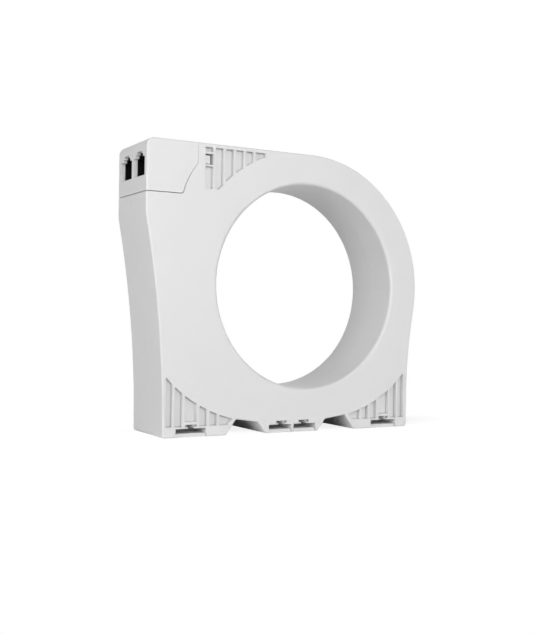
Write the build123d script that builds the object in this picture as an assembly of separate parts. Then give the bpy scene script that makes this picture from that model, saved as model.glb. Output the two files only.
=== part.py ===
from build123d import *
import math
import os

# Current transformer with a round window for the cables that it measures. A moulded housing in two
# halves holds a wound ring core, and a cap on its top left corner covers two modular sockets.
# Sizes are in millimetres. x runs to the right, y from the front to the rear, z up. The origin is
# the centre of the window, on the plane where the two halves meet.

# Window and housing
window_r = 40.0
window_rim_r = 1.2
window_wall = 1.8
depth = 28.5
wall = 2.0
edge_r = 0.6

# Outline, seen from the front
top_z = 51.9
left_x = -68.8
ring_r = 51.8
ring_x = 0.95
foot_z = -56.85
base_left_x = -61.35
base_right_x = 49.0
left_flank_r = 420.0
left_flank_foot_z = -54.0
right_flank_r = 200.0
top_left_r = 3.0
left_bend_r = 10.0
foot_corner_r = 1.2

# Notches between the feet, measured from the middle of the base
feet_mid_x = -6.5
notch_in = 11.7
notch_out = 28.9
notch_top_in = 15.3
notch_top_out = 24.6
notch_low_z = -52.3
notch_high_z = -51.0
notch_r = 0.9
notch_floor_t = 1.8

# Slots in the feet for mounting clips, each with a small window over it
clip_slot_low_z = -55.5
clip_slot_h = 1.9
clip_slot_depth = 11.0
clip_window_low_z = -53.2
clip_window_h = 1.0
clip_window_w = 4.9
clip_window_depth = 1.2
clip_gap_w = 2.4
clip_lip_setback = 0.8
foot_slot_off = 43.4
foot_slot_w = 12.2
mid_slot_off = 5.5
mid_slot_w = 9.9
mid_window_off = 5.05

# Relief pockets in the corners
relief_depth = 1.6
relief_floor = 1.7
relief_edge = 1.6
relief_corner_r = 0.35
top_relief_z = 50.5
top_relief_low_z = 35.0
top_relief_x = -45.6
top_relief_w = 3.3
top_relief_rib = 0.95
top_relief_count = 6
top_relief_last_w = 4.4
top_relief_arc_r = 53.0
low_relief_x = -60.0
low_relief_widths = (2.5, 2.9, 4.8, 3.1, 3.0, 5.2)
low_relief_rib = 1.1
low_relief_z = -53.0
low_relief_arc_x = -20.1
low_relief_arc_z = 2.2
low_relief_arc_r = 54.3
clip_window_rib = 0.9

# Joint between the two halves
tongue_t = 0.9
tongue_h = 1.2
tongue_clear = 0.15
groove = 0.12

# Cap over the sockets
cover_wall = 1.5
cover_seam_z = 32.5
cover_corner_x = -54.4
cover_corner_r = 1.2
cover_edge_x = -48.5
cover_arc_top_z = 43.9
cover_arc_sag = 0.8
seam_gap = 0.3
seam_edge_gap = 0.08
lip_t = 1.0
lip_in = 1.2
lip_out = 1.6

# Latch of the cap, and the window that it hooks into
latch_window_low_z = 44.0
latch_window_high_z = 48.0
latch_window_rib = 0.6
latch_t = 1.2
latch_clear = 0.3
latch_root = 4.0
latch_top_gap = 0.6
latch_nose_w = 2.3
latch_tip_w = 2.0

# Sockets, seen from the left
opening_low_z = 38.4
opening_high_z = 45.4
opening_side = 0.4
key_step_in = 1.75
key_step_z = 46.5
key_in = 3.05
key_z = 47.4
socket_gap = 0.2
socket_shift = 0.5
socket_len = 11.6
socket_floor = 2.6
socket_roof = 1.6
socket_cavity_len = 9.8
socket_lip = 0.3
contact_count = 6
contact_pitch = 1.02
contact_t = 0.45
contact_bend_r = 0.6
contact_clear = 0.1
contact_low = 1.2
contact_rise = 1.9
contact_slope_len = 6.0

# Circuit board, its posts and what it carries
board_t = 1.6
board_left_x = -65.6
board_right_x = -46.0
board_side_gap = 3.9
post_w = 5.0
post_reach = 6.6
post_drop = 9.0
board_screw_r = 1.1
board_screw_head_r = 2.1
board_screw_head_h = 1.4
board_screw_len = 7.0
diode_w = 2.0
diode_len = 4.2
resistor_l = 3.2
resistor_w = 1.6
resistor_t = 0.6

# Coil
coil_clear = 0.3
tape_t = 0.3
wire_t = 0.7
case_t = 0.7
core_clear = 0.1
foam_t = 1.5
foam_edge = 0.5
test_turns = 8
test_sector_angle = 24.0
test_gap_angle = 4.0
coil_wall_t = 1.2

# Leads from the coil to the board
lead_r = 0.6
lead_angle = 149.0
lead_pitch = 2.4
lead_bend_r = 3.5
lead_end_gap = 1.0
lead_clear = 0.05

# Screws that close the housing, and the stiffening ribs
screw_places = ((-57.5, -31.0), (44.5, -31.0), (-57.8, 17.0))
screw_r = 1.5
screw_len = 15.0
screw_head_r = 2.8
screw_head_h = 2.0
screw_recess_r = 3.1
screw_recess_depth = 7.0
screw_clear = 0.1
screw_tip_room = 1.0
boss_wall = 1.2
cross_l = 3.2
cross_w = 0.7
cross_depth = 0.9
board_cross_scale = 0.7
rib_t = 1.2
rib_h = 6.0
rib_heights = (-16.0, 2.0)

# Worked out from the sizes above
front_y = -depth / 2
rear_y = depth / 2
inner_y = front_y + wall
ring_z = top_z - ring_r
cavity_low_z = notch_high_z + notch_floor_t
tube_r = window_r + window_wall
coil_in_r = tube_r + coil_clear
coil_out_r = top_z - wall - coil_clear
coil_seat_r = coil_out_r + coil_clear
coil_y = inner_y + foam_t
board_top_z = opening_low_z - socket_floor
board_z = board_top_z - board_t
socket_x = left_x + cover_wall + socket_gap
socket_room = (depth - 2 * cover_wall - 3 * socket_gap) / 2
socket_pitch = socket_room + socket_gap
socket_w = socket_room - 2 * socket_shift
socket_ys = (-socket_pitch / 2 - socket_shift, socket_pitch / 2 - socket_shift)
opening_w = socket_w - 2 * opening_side
contact_ys = [(i - (contact_count - 1) / 2) * contact_pitch for i in range(contact_count)]
contact_foot_x = socket_x + socket_cavity_len - contact_t - contact_bend_r
post_x = board_right_x - post_w / 2
board_screw_y = inner_y + post_reach - board_screw_head_r - lip_t / 2
lead_end_x = post_x - lead_end_gap
lead_ys = [(i - 1.5) * lead_pitch for i in range(4)]
coil_seat_end_y = lead_ys[0] - lead_r - coil_clear
latch_window_x = top_relief_x + top_relief_w
far = 4 * ring_r


def rect(x0, x1, y0, y1):
    """Rectangle between two corners, in the plane that it is drawn in."""
    return Pos((x0 + x1) / 2, (y0 + y1) / 2) * Rectangle(abs(x1 - x0), abs(y1 - y0))


def block(x0, x1, y0, y1, z0, z1):
    """Box between two corners."""
    centre = Pos((x0 + x1) / 2, (y0 + y1) / 2, (z0 + z1) / 2)
    return centre * Box(abs(x1 - x0), abs(y1 - y0), abs(z1 - z0))


def along_y(profile, y0, y1):
    """Solid of a profile drawn in x and z, between two depths."""
    return extrude(Plane.XZ.offset(-y0) * profile, amount=y0 - y1)


def along_x(profile, x0, x1):
    """Solid of a profile drawn in y and z, between two places across the housing."""
    return extrude(Plane.YZ.offset(x0) * profile, amount=x1 - x0)


def cylinder_y(r, x, z, y0, y1):
    return along_y(Pos(x, z) * Circle(r), y0, y1)


def ring_y(r_in, r_out, y0, y1):
    return along_y(Circle(r_out) - Circle(r_in), y0, y1)


def behind(shape):
    """The same shape on the rear half."""
    return mirror(shape, about=Plane.XZ)


def inset(profile, distance):
    """The profile drawn in from its edge, with sharp corners."""
    return offset(profile, -distance, kind=Kind.INTERSECTION)


def round_corners(sketch, places, radius):
    """Rounds the corners of a sketch that lie nearest to the given places."""
    corners = [sketch.vertices().sort_by_distance((x, z, 0))[0] for x, z in places]
    return fillet(corners, radius)


def notch_points(side):
    """Corners of the notch on the left (-1) or right (1) side of the base, from left to right."""
    corners = [(notch_out, foot_z), (notch_top_out, notch_high_z),
               (notch_top_in, notch_low_z), (notch_in, foot_z)]
    return [(feet_mid_x + side * off, z) for off, z in corners][::-side]


def outline():
    """Silhouette from the front: flat top, round right side, waisted flanks and three feet."""
    flank_x = base_right_x + right_flank_r
    flank_z = ring_z - math.sqrt((ring_r + right_flank_r) ** 2 - (flank_x - ring_x) ** 2)
    share = ring_r / (ring_r + right_flank_r)
    ring_end = (ring_x + share * (flank_x - ring_x), ring_z + share * (flank_z - ring_z))
    ring_mid = (ring_x + ring_r * math.sin(math.pi / 4), ring_z + ring_r * math.cos(math.pi / 4))
    reach = left_flank_r - (base_left_x - left_x)
    bend_z = left_flank_foot_z + math.sqrt(left_flank_r ** 2 - reach ** 2)
    base = [(base_left_x, left_flank_foot_z), (base_left_x, foot_z)] + notch_points(-1)
    base += notch_points(1) + [(base_right_x, foot_z), (base_right_x, flank_z)]

    edges = Line((left_x, bend_z), (left_x, top_z))
    edges += Line((left_x, top_z), (ring_x, top_z))
    edges += ThreePointArc((ring_x, top_z), ring_mid, ring_end)
    edges += TangentArc((base_right_x, flank_z), ring_end, tangent=(0, 1))
    edges += Polyline(*base)
    edges += TangentArc((base_left_x, left_flank_foot_z), (left_x, bend_z), tangent=(0, 1))
    face = make_face(edges)
    face = round_corners(face, [(left_x, top_z)], top_left_r)
    face = round_corners(face, [(left_x, bend_z)], left_bend_r)
    feet = [(base_left_x, foot_z), (base_right_x, foot_z)]
    feet += [corner for side in (-1, 1) for corner in notch_points(side) if corner[1] == foot_z]
    face = round_corners(face, feet, foot_corner_r)
    return round_corners(face, [notch_points(-1)[1], notch_points(1)[2]], notch_r)


silhouette = outline()


def housing_body():
    """The whole housing as one solid, with its rounded outer edges and the window."""
    body = along_y(silhouette, front_y, rear_y)
    faces = body.faces().filter_by(Axis.Y).sort_by(Axis.Y)
    body = fillet(faces[0].edges() + faces[-1].edges(), edge_r)
    body -= cylinder_y(window_r, 0, 0, -far, far)
    rims = body.edges().filter_by(GeomType.CIRCLE).filter_by(lambda e: abs(e.radius - window_r) < 0.01)
    return fillet(rims, window_rim_r)


body = housing_body()


def cover_zone(grow, edge_grow=None):
    """The corner that the cap takes, drawn in x and z, with its edge moved by a distance. The upright
    part of the edge can be moved by a distance of its own."""
    corner = (cover_corner_x, cover_seam_z)
    edge_x = cover_edge_x if edge_grow is None else cover_edge_x + edge_grow - grow
    arc_top = (edge_x, cover_arc_top_z)
    edges = Polyline(arc_top, (edge_x, far), (-far, far), (-far, cover_seam_z), corner)
    edges += SagittaArc(corner, arc_top, cover_arc_sag)
    return inset(round_corners(make_face(edges), [corner], cover_corner_r), -grow)


def cavity_profile():
    """The hollow of the housing, drawn in x and z: inside the walls and round the window's tube."""
    low = rect(-far, far, -far, cavity_low_z)
    return inset(silhouette, wall) - low + Circle(coil_seat_r) - Circle(tube_r)


hollow_profile = cavity_profile()


def soften(pockets):
    """Rounds the corners of the pockets, by less where one of their sides is short."""
    shortest = min(edge.length for edge in pockets.edges())
    return fillet(pockets.vertices(), min(relief_corner_r, shortest / 4))


def top_relief():
    """Pocket columns beside the cap. Their lower ends follow a circle round the window."""
    columns = Sketch()
    x0 = top_relief_x
    for i in range(top_relief_count):
        x1 = x0 + (top_relief_w if i < top_relief_count - 1 else top_relief_last_w)
        columns += rect(x0, x1, top_relief_low_z, top_relief_z)
        x0 = x1 + top_relief_rib
    columns -= rect(top_relief_x, latch_window_x, latch_window_low_z - latch_window_rib,
                    latch_window_high_z + latch_window_rib)
    return soften(columns - Circle(top_relief_arc_r))


def low_relief():
    """Pocket columns over the left foot. Their upper ends follow a circle, and the last one leans."""
    columns = Sketch()
    x0 = low_relief_x
    for width in low_relief_widths:
        x1 = x0 + width
        over_slot = x0 < feet_mid_x - foot_slot_off < x1
        z0 = clip_window_low_z + clip_window_h + clip_window_rib if over_slot else low_relief_z
        columns += rect(x0, x1, z0, 0)
        x0 = x1 + low_relief_rib
    columns -= Pos(low_relief_arc_x, low_relief_arc_z) * Circle(low_relief_arc_r)
    foot, top = notch_points(-1)[:2]
    lean = make_face(Polyline(foot, top, (0, top[1]), (0, foot[1]), close=True))
    return soften(columns - inset(lean, -relief_edge))


def other_foot(shape):
    """The same shape over the right foot."""
    return Pos(2 * feet_mid_x, 0) * mirror(shape, about=Plane.YZ)


def relief_zone(pockets, arc_x, arc_z, arc_r):
    """Where the front wall is thicker inside, behind a group of pockets."""
    box = pockets.bounding_box()
    zone = rect(box.min.X - relief_edge, box.max.X + relief_edge,
                box.min.Y - relief_edge, box.max.Y + relief_edge)
    return zone - Pos(arc_x, arc_z) * Circle(arc_r - relief_edge)


def clip_slot(x, width, window_x):
    """Slot for a mounting clip, the shallow window over it, and the set back lip under it."""
    slot_top = clip_slot_low_z + clip_slot_h
    window_top = clip_window_low_z + clip_window_h
    opening = rect(x - width / 2, x + width / 2, clip_slot_low_z, slot_top)
    opening += rect(window_x - clip_gap_w / 2, window_x + clip_gap_w / 2, clip_slot_low_z, window_top)
    window = rect(window_x - clip_window_w / 2, window_x + clip_window_w / 2, clip_window_low_z, window_top)
    lip = rect(x - (width + edge_r) / 2, x + (width + edge_r) / 2, -far, clip_slot_low_z)
    cut = along_y(opening, -far, front_y + clip_slot_depth)
    cut += along_y(window, -far, front_y + clip_window_depth)
    return cut + along_y(lip, -far, front_y + clip_lip_setback)


def parting_groove():
    """Fine groove where the two halves meet, outside and inside the window."""
    band = silhouette - inset(silhouette, groove) + Circle(window_r + groove)
    return along_y(band, -groove / 2, groove)


def cover_inside(clear):
    """The space inside the cap's walls, held off them by a clearance."""
    gap = cover_wall + clear
    return along_y(inset(silhouette, gap), front_y + gap, rear_y - gap)


def cover_lip():
    """Lip of the housing that stands behind the cap's edge and closes the seam."""
    clear = wall - cover_wall
    band = along_y(cover_zone(lip_out) - cover_zone(-lip_in), front_y, rear_y)
    return (cover_inside(clear) - cover_inside(clear + lip_t)) & band


def inner_walls():
    """What stands up from the front wall inside: pads behind the pockets, coil seat, post and ribs."""
    low = low_relief()
    zones = relief_zone(top_relief(), 0, 0, top_relief_arc_r)
    low_zone = relief_zone(low, low_relief_arc_x, low_relief_arc_z, low_relief_arc_r)
    zones += low_zone + other_foot(low_zone)
    walls = along_y(zones, inner_y, inner_y + relief_floor)
    walls += ring_y(coil_seat_r, coil_seat_r + coil_wall_t, inner_y, coil_seat_end_y)
    walls += block(post_x - post_w / 2, post_x + post_w / 2, inner_y, inner_y + post_reach,
                   board_z - post_drop, board_z)
    for z in rib_heights:
        walls += block(left_x, -coil_seat_r, inner_y, inner_y + rib_h, z - rib_t / 2, z + rib_t / 2)
    return walls - cylinder_y(coil_seat_r, 0, 0, front_y, 0)


def board_screw_hole(radius):
    """Holes for the two board screws, down through the board and into the posts."""
    hole = Cylinder(radius, board_screw_len, align=(Align.CENTER, Align.CENTER, Align.MIN))
    hole = Pos(0, 0, board_top_z - board_screw_len) * hole
    return Pos(post_x, board_screw_y, 0) * hole + Pos(post_x, -board_screw_y, 0) * hole


def shell_half():
    """What the front and the rear half of the housing share, drawn as the front half."""
    half = block(-far, far, -far, 0, -far, far)
    hollow = along_y(hollow_profile, inner_y, 0)
    shell = (body & half) - hollow + (inner_walls() & hollow)

    shell -= along_y(cover_zone(seam_gap / 2, seam_edge_gap / 2), -far, 0)
    shell += cover_lip() & half
    shell += block(left_x + wall, board_left_x + lip_out, inner_y, -lead_pitch,
                   cover_seam_z - lip_out, board_z)

    low = low_relief()
    shell -= along_y(top_relief() + low + other_foot(low), -far, front_y + relief_depth)
    shell -= block(top_relief_x, latch_window_x, -far, inner_y + relief_floor,
                   latch_window_low_z, latch_window_high_z)
    shell -= block(cover_edge_x - latch_root, latch_window_x, inner_y, inner_y + 2 * latch_clear + latch_t,
                   latch_window_low_z, latch_window_high_z)
    for side in (-1, 1):
        x = feet_mid_x + side * foot_slot_off
        shell -= clip_slot(x, foot_slot_w, x)
        shell -= clip_slot(feet_mid_x + side * mid_slot_off, mid_slot_w, feet_mid_x + side * mid_window_off)
    return shell - board_screw_hole(board_screw_r) - parting_groove()


def tongue(clear):
    """Rim round the hollow that joins the halves: half a wall thick, and none under the cap."""
    band = inset(hollow_profile, -tongue_t - clear) - hollow_profile
    return along_y(band - cover_zone(lip_t - clear), 0, tongue_h + clear)


screw_seat_y = rear_y - screw_recess_depth


def front_shell():
    shell = shell_half()
    for x, z in screw_places:
        boss = cylinder_y(screw_r + boss_wall, x, z, inner_y, 0)
        hole = cylinder_y(screw_r + screw_clear, x, z, screw_seat_y - screw_len - screw_tip_room, far)
        shell = shell + boss - hole
    return shell + tongue(0)


def rear_shell():
    shell = behind(shell_half())
    for x, z in screw_places:
        shell += cylinder_y(screw_r + boss_wall, x, z, 0, screw_seat_y)
        shell += cylinder_y(screw_recess_r + boss_wall, x, z, screw_seat_y - boss_wall, rear_y - wall)
        shell -= cylinder_y(screw_r + screw_clear, x, z, 0, screw_seat_y)
        shell -= cylinder_y(screw_recess_r, x, z, screw_seat_y, far)
    return shell - tongue(tongue_clear)


def stepped_opening(y, grow):
    """Outline of a socket's mouth in y and z: the plug's body, and two steps for its latch."""
    shape = Sketch()
    for step, top in ((0, opening_high_z), (key_step_in, key_step_z), (key_in, key_z)):
        side = opening_w / 2 - step + grow
        shape += rect(y - side, y + side, opening_low_z - grow, top + grow)
    return shape


def latch():
    """Arm of the cap that runs behind the front wall and hooks into the small window."""
    x0 = cover_edge_x - latch_root
    y0 = inner_y + latch_clear
    z0 = latch_window_low_z + latch_clear
    z1 = latch_window_high_z - latch_top_gap
    nose_x = top_relief_x + latch_clear / 2
    arm = block(x0, cover_edge_x - seam_gap, front_y + cover_wall - edge_r, y0 + latch_t, z0, z1)
    arm += block(x0, nose_x + latch_nose_w, y0, y0 + latch_t, z0, z1)
    nose = Polyline((nose_x, y0), (nose_x, front_y + edge_r), (nose_x + latch_tip_w, front_y + edge_r),
                    (nose_x + latch_nose_w, y0), close=True)
    return arm + Pos(0, 0, z0) * extrude(make_face(nose), amount=z1 - z0)


def connector_cover():
    cover = (body & along_y(cover_zone(-seam_gap / 2, -seam_edge_gap / 2), -far, far)) - cover_inside(0)
    for y in socket_ys:
        cover -= along_x(stepped_opening(y, 0), -far, left_x + wall)
    return cover + latch() + behind(latch())


def socket(y):
    """Black modular socket: a box with a stepped cavity and a comb of slots for its wires."""
    cavity_x = socket_x + socket_cavity_len
    side = contact_t / 2 + contact_clear
    shape = block(socket_x, socket_x + socket_len, y - socket_w / 2, y + socket_w / 2,
                  board_top_z, key_z + socket_roof)
    shape -= along_x(stepped_opening(y, -socket_lip), -far, cavity_x)
    for wire_y in contact_ys:
        y0, y1 = y + wire_y - side, y + wire_y + side
        shape -= block(socket_x + contact_t, cavity_x, y0, y1,
                       board_top_z + contact_low - contact_t / 2, opening_high_z)
        shape -= block(contact_foot_x - contact_t - contact_bend_r, contact_foot_x + side, y0, y1,
                       board_top_z, opening_low_z)
    return shape


def socket_contacts(y):
    """Six sprung wires: up from the board, forward under the floor, and back up at a slope."""
    low = board_top_z + contact_low
    front = socket_x + contact_t + 2 * contact_bend_r
    path = FilletPolyline((contact_foot_x, 0, board_z - contact_low), (contact_foot_x, 0, low),
                          (front, 0, low), (front + contact_slope_len, 0, opening_low_z + contact_rise),
                          radius=contact_bend_r)
    wire = sweep(Plane(path @ 0, z_dir=path % 0) * Rectangle(contact_t, contact_t), path=path)
    return Compound(children=[Pos(0, y + wire_y, 0) * wire for wire_y in contact_ys])


def socket_board():
    board = block(board_left_x, board_right_x, front_y + board_side_gap, rear_y - board_side_gap,
                  board_z, board_top_z)
    board -= board_screw_hole(board_screw_r + screw_clear)
    side = contact_t / 2 + contact_clear
    for y in socket_ys:
        for wire_y in contact_ys:
            board -= block(contact_foot_x - side, contact_foot_x + side, y + wire_y - side, y + wire_y + side,
                           board_z, board_top_z)
    return board


def cross(scale, top):
    """Cross recess in the head of a screw that points down."""
    length, width, sunk = cross_l * scale, cross_w * scale, 2 * cross_depth * scale
    return Pos(0, 0, top) * (Box(length, width, sunk) + Box(width, length, sunk))


def screw(head_r, head_h, shank_r, length, cross_scale):
    """Pan-head screw that points down, with its thread drawn at its outer size."""
    head = Cylinder(head_r, head_h, align=(Align.CENTER, Align.CENTER, Align.MIN))
    head = chamfer(head.edges().group_by(Axis.Z)[-1], head_h / 4)
    shank = Cylinder(shank_r, length - shank_r, align=(Align.CENTER, Align.CENTER, Align.MAX))
    tip = Cone(shank_r / 4, shank_r, shank_r, align=(Align.CENTER, Align.CENTER, Align.MIN))
    return head + shank + Pos(0, 0, -length) * tip - cross(cross_scale, head_h)


def board_screws():
    one = screw(board_screw_head_r, board_screw_head_h, board_screw_r - screw_clear / 2,
                board_screw_len - screw_clear, board_cross_scale)
    return Compound(children=[Pos(post_x, y, board_top_z) * one for y in (board_screw_y, -board_screw_y)])


def housing_screws():
    """Screws that run from the rear face into the front half's bosses."""
    one = Rot(-90, 0, 0) * screw(screw_head_r, screw_head_h, screw_r, screw_len, 1.0)
    return Compound(children=[Pos(x, screw_seat_y, z) * one for x, z in screw_places])


def protection_diodes():
    x0 = socket_x + socket_len + diode_w / 2
    diodes = []
    for y in socket_ys:
        shape = block(x0, x0 + diode_w, y - diode_len / 2, y + diode_len / 2,
                      board_top_z, board_top_z + diode_w)
        diodes.append(chamfer(shape.edges().group_by(Axis.Z)[-1], diode_w / 8))
    return Compound(children=diodes)


def burden_resistor():
    return block(post_x - resistor_w / 2, post_x + resistor_w / 2, -resistor_l / 2, resistor_l / 2,
                 board_top_z, board_top_z + resistor_t)


def coil_layer(gap_in, gap_out):
    """Hollow ring between two distances inside the coil's outer size."""
    outer = ring_y(coil_in_r + gap_in, coil_out_r - gap_in, coil_y + gap_in, -coil_y - gap_in)
    inner = ring_y(coil_in_r + gap_out, coil_out_r - gap_out, coil_y + gap_out, -coil_y - gap_out)
    return outer - inner


def radial(radius, angle):
    """A point in x and z at a distance from the window's axis."""
    return radius * math.cos(math.radians(angle)), radius * math.sin(math.radians(angle))


def winding_tape():
    """Tape round the windings, with a hole for each lead."""
    tape = coil_layer(0, tape_t)
    x, z = radial(coil_out_r, lead_angle)
    for y in lead_ys:
        tape -= Pos(x, y, z) * Rot(0, 90 - lead_angle, 0) * Cylinder(lead_r, 4 * tape_t)
    return tape


def secondary_winding():
    """One layer of wire round the cased core, with a gap that the test turns take."""
    edges = [radial(far, lead_angle + s * (test_sector_angle / 2 + test_gap_angle)) for s in (-1, 1)]
    wedge = make_face(Polyline((0, 0), *edges, close=True))
    return coil_layer(tape_t, tape_t + wire_t) - along_y(wedge, front_y, rear_y)


def test_winding():
    layer = coil_layer(tape_t, tape_t + wire_t)
    slab = block(coil_in_r, coil_out_r, front_y, rear_y, -wire_t / 2, wire_t / 2)
    turns = []
    for i in range(test_turns):
        angle = lead_angle + (i - (test_turns - 1) / 2) * test_sector_angle / test_turns
        turns.append(layer & (Rot(0, -angle, 0) * slab))
    return Compound(children=turns)


case_gap = tape_t + wire_t
case_end_y = -coil_y - case_gap - case_t


def core_case():
    """Tray round the core, open to the rear."""
    tray = ring_y(coil_in_r + case_gap, coil_out_r - case_gap, coil_y + case_gap, case_end_y)
    gap = case_gap + case_t
    return tray - ring_y(coil_in_r + gap, coil_out_r - gap, coil_y + gap, case_end_y)


def core_case_lid():
    return ring_y(coil_in_r + case_gap, coil_out_r - case_gap, case_end_y, case_end_y + case_t)


def toroid_core():
    gap = case_gap + case_t
    side = gap + core_clear
    return ring_y(coil_in_r + side, coil_out_r - side, coil_y + gap, case_end_y - core_clear)


def foam_ring(y0):
    return ring_y(coil_in_r + foam_edge, coil_out_r - foam_edge, y0, y0 + foam_t)


def leads(ys):
    """Insulated wires from the coil's side to the underside of the board."""
    start = radial(coil_out_r + lead_clear, lead_angle)
    run = (lead_end_x - start[0]) / math.cos(math.radians(lead_angle))
    bend = (lead_end_x, start[1] + run * math.sin(math.radians(lead_angle)))
    wires = []
    for y in ys:
        path = FilletPolyline((start[0], y, start[1]), (bend[0], y, bend[1]), (lead_end_x, y, board_z),
                              radius=lead_bend_r)
        wires.append(sweep(Plane(path @ 0, z_dir=path % 0) * Circle(lead_r), path=path))
    return Compound(children=wires)


parts = {
    "front_shell": front_shell(),
    "rear_shell": rear_shell(),
    "connector_cover": connector_cover(),
    "front_socket": socket(socket_ys[0]),
    "rear_socket": socket(socket_ys[1]),
    "front_socket_contacts": socket_contacts(socket_ys[0]),
    "rear_socket_contacts": socket_contacts(socket_ys[1]),
    "socket_board": socket_board(),
    "board_screws": board_screws(),
    "protection_diodes": protection_diodes(),
    "burden_resistor": burden_resistor(),
    "toroid_core": toroid_core(),
    "core_case": core_case(),
    "core_case_lid": core_case_lid(),
    "secondary_winding": secondary_winding(),
    "test_winding": test_winding(),
    "winding_tape": winding_tape(),
    "front_foam_ring": foam_ring(inner_y),
    "rear_foam_ring": foam_ring(-inner_y - foam_t),
    "secondary_leads": leads(lead_ys[:2]),
    "test_leads": leads(lead_ys[2:]),
    "housing_screws": housing_screws(),
}

os.makedirs("parts", exist_ok=True)
for name, shape in parts.items():
    export_step(shape, f"parts/{name}.step")
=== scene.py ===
import math
import bmesh
import bpy
from bpy.props import FloatProperty, FloatVectorProperty, IntProperty, PointerProperty
from mathutils import Matrix, Vector


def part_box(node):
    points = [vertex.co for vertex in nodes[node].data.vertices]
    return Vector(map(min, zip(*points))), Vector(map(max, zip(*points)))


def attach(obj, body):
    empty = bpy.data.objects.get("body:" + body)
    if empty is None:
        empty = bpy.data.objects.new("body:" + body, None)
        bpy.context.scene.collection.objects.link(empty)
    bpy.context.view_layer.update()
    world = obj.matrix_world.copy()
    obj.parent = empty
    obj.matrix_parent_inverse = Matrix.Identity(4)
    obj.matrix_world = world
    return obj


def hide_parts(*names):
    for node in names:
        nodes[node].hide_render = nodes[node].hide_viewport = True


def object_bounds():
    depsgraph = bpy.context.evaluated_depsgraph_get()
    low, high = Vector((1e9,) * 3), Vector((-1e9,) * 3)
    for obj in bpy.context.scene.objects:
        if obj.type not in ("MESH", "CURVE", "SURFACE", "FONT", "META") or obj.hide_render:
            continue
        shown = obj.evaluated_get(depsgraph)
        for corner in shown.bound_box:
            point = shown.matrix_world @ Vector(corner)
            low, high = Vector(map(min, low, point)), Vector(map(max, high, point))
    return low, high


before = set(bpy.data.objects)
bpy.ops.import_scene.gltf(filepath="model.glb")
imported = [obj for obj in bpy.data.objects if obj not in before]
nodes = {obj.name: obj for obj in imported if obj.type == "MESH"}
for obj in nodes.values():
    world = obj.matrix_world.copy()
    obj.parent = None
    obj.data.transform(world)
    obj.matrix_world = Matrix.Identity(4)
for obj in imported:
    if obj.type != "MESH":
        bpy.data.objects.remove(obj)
cad_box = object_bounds()

bl_info = {
    "name": "Current transformer",
    "version": (1, 0, 0),
    "blender": (4, 5, 0),
    "location": "3D View > Sidebar > Transformer",
    "description": "Finishes, windings and studio for a moulded current transformer with a round window",
    "category": "Object",
}

MM = 0.001
LONG_SIDE_PX = 634      # longer side of the image, which the focal length in pixels belongs to
SENSOR_MM = 36.0        # longer side of the camera's sensor
SAME_PLACE = 0.001 * MM     # corners of a CAD node that lie closer than this are one
NOISE_SPAN = {"From Min": 0.3, "From Max": 0.7}     # where most values of a noise texture lie
EDGE_SAMPLES = 8        # rays of the shader nodes that look round themselves
X_AXIS, DOWN, TO_FRONT = Vector((1, 0, 0)), Vector((0, 0, -1)), Vector((0, -1, 0))


def linear(hex_colour):
    """Scene-linear red, green and blue of an sRGB hex colour."""
    channels = [int(hex_colour[i:i + 2], 16) / 255 for i in (0, 2, 4)]
    return tuple(c / 12.92 if c <= 0.04045 else ((c + 0.055) / 1.055) ** 2.4 for c in channels)


def colour_property(name, description, hex_colour):
    """A colour that the user can change."""
    return FloatVectorProperty(name=name, description=description, subtype="COLOR",
                               default=linear(hex_colour), min=0.0, max=1.0)


def length_property(name, description, default):
    """A length that the user can change."""
    return FloatProperty(name=name, description=description, default=default, min=0.0,
                         subtype="DISTANCE", unit="LENGTH", precision=5)


def power_property(name, description, watts):
    """A lamp's power that the user can change."""
    return FloatProperty(name=name, description=description, default=watts, min=0.0, unit="POWER")


# Shapes read from the CAD nodes


def islands(name):
    """The separate solids of a CAD node, each as a sorted list of its corner points."""
    mesh = bmesh.new()
    mesh.from_mesh(nodes[name].data)
    bmesh.ops.remove_doubles(mesh, verts=mesh.verts, dist=SAME_PLACE)
    left, found = set(mesh.verts), []
    while left:
        group, todo = [], [left.pop()]
        while todo:
            corner = todo.pop()
            group.append(corner.co.copy())
            for edge in corner.link_edges:
                other = edge.other_vert(corner)
                if other in left:
                    left.remove(other)
                    todo.append(other)
        found.append(sorted(group, key=tuple))
    mesh.free()
    return sorted(found, key=lambda group: tuple(sum(group, Vector()) / len(group)))


def ring_size(name):
    """Inner and outer distance of a ring node from the window's axis, and its two depths."""
    low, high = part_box(name)
    across = [math.hypot(v.co.x, v.co.z) for v in nodes[name].data.vertices]
    return min(across), max(across), low.y, high.y


# Small makers of meshes, pieces and shader nodes


def piece(name, points, faces, finish, slot=None, replaces=()):
    """A mesh that rides on the transformer, with its finish and the CAD nodes that it stands for."""
    mesh = bpy.data.meshes.new(name)
    mesh.from_pydata([tuple(p) for p in points], [], faces)
    mesh.validate()
    mesh.materials.append(finish)
    for polygon in mesh.polygons:
        polygon.use_smooth = True
    made = bpy.data.objects.new(name, mesh)
    bpy.context.scene.collection.objects.link(made)
    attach(made, "root")
    if replaces:
        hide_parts(*replaces)
    return made


def dress(name, finish):
    """Gives a CAD node its finish."""
    nodes[name].data.materials.clear()
    nodes[name].data.materials.append(finish)


def joined(shapes):
    """Points and faces of several shapes as one."""
    points, faces = [], []
    for more, skin in shapes:
        faces += [tuple(i + len(points) for i in face) for face in skin]
        points += more
    return points, faces


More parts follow.
